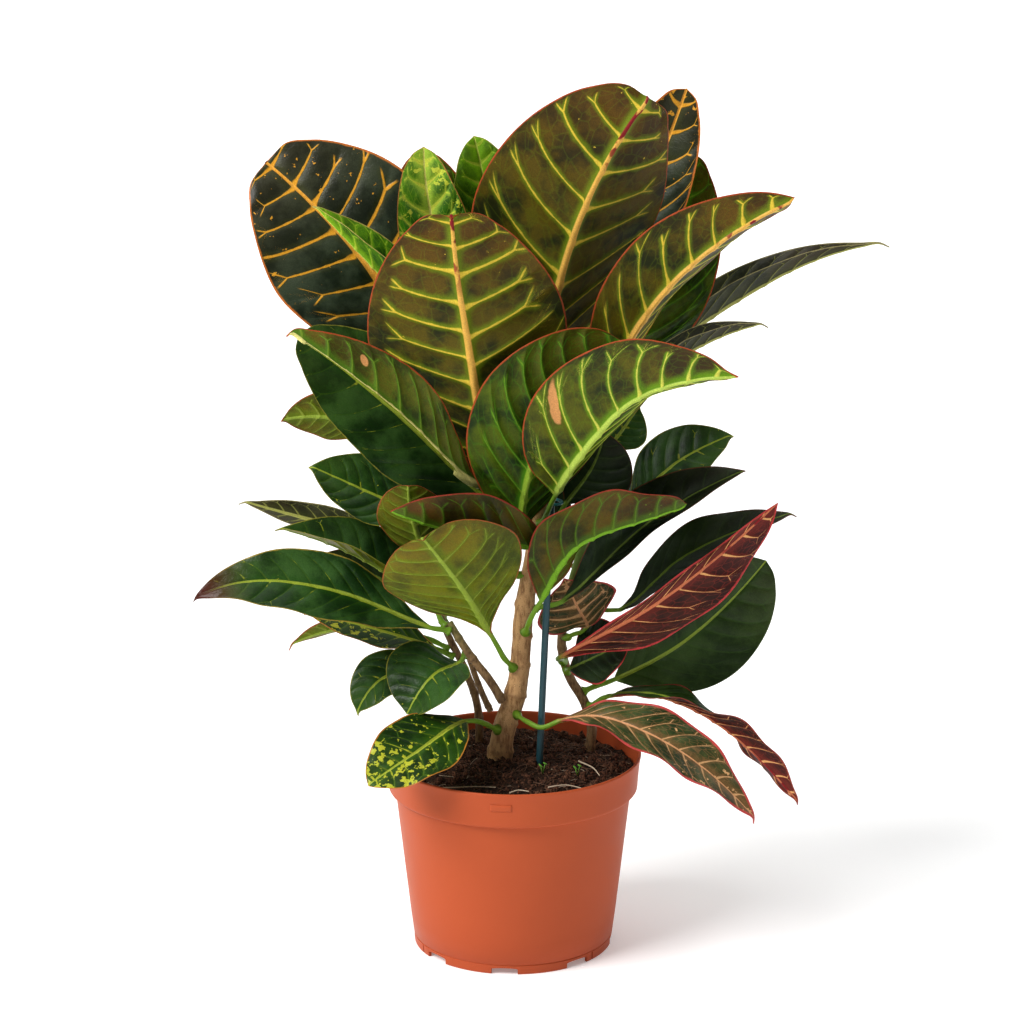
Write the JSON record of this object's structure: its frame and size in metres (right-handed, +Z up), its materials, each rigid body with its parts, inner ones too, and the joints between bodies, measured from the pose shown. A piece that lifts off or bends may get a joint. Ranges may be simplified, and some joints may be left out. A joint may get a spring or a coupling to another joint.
{
  "type": "potted croton",
  "caption": "Young croton in a terracotta-coloured nursery pot: broad glossy veined leaves on a staked woody stem and two side shoots, standing in heaped peat",
  "frame": {"origin": "on the ground under the middle of the plant's outer box; the pot's centre line is 17.9 mm to -X and 26.1 mm to -Y of it", "axes": "+Z up out of the pot, the front of the plant faces -Y, +X to the right seen from the front"},
  "size_m": [0.396, 0.2186, 0.509],
  "materials": {
    "pot_plastic": "matte terracotta-coloured polypropylene",
    "peat": "damp crumbly peat",
    "bark": "corky tan bark with leaf scars",
    "shoot_bark": "thin green-brown bark",
    "stake_plastic": "satin dark blue-green",
    "tie_plastic": "satin teal",
    "leaf": "glossy leathery leaf with yellow and orange veins",
    "young_leaf": "soft glossy young leaf, bright green and yellow",
    "maroon_leaf": "glossy leaf, maroon beneath with pink-red veins"
  },
  "bodies": {
    "root": {"leaf_back_high": "leaf", "leaf_back_left": "leaf", "leaf_back_low": "leaf", "leaf_back_middle": "leaf", "leaf_back_right": "leaf", "leaf_behind_young": "leaf", "leaf_front_cupped": "leaf", "leaf_front_inner": "leaf", "leaf_front_left": "leaf", "leaf_front_star": "leaf", "leaf_inner_dark": "leaf", "leaf_inner_streaked": "maroon_leaf", "leaf_left_channelled": "leaf", "leaf_left_far": "leaf", "leaf_left_folded": "leaf", "leaf_left_glossy": "leaf", "leaf_left_inner": "leaf", "leaf_left_lance": "leaf", "leaf_left_middle": "leaf", "leaf_left_rounded": "leaf", "leaf_left_small": "leaf", "leaf_low_left_curled": "leaf", "leaf_low_left_drooping": "leaf", "leaf_low_left_mottled": "leaf", "leaf_low_left_narrow": "leaf", "leaf_low_right_pink": "maroon_leaf", "leaf_low_right_twisted": "maroon_leaf", "leaf_over_rim": "leaf", "leaf_red_inner": "maroon_leaf", "leaf_right_curled": "leaf", "leaf_right_dark": "leaf", "leaf_right_inner": "leaf", "leaf_right_lance": "leaf", "leaf_right_long": "leaf", "leaf_right_long_low": "leaf", "leaf_right_narrow": "leaf", "leaf_right_red": "maroon_leaf", "leaf_right_round": "leaf", "leaf_right_upper": "leaf", "leaf_top_centre": "leaf", "leaf_top_left": "leaf", "leaf_top_right": "leaf", "leaf_upper_front": "leaf", "leaf_upright_right": "leaf", "leaf_young_back": "young_leaf", "leaf_young_folded": "young_leaf", "leaf_young_tall": "young_leaf", "left_shoot": "shoot_bark", "lower_branch": "shoot_bark", "main_stem": "bark", "plant_tie": "tie_plastic", "pot": "pot_plastic", "right_shoot": "shoot_bark", "soil": "peat", "stake": "stake_plastic", "upper_branch": "shoot_bark"}
  },
  "joints": []
}
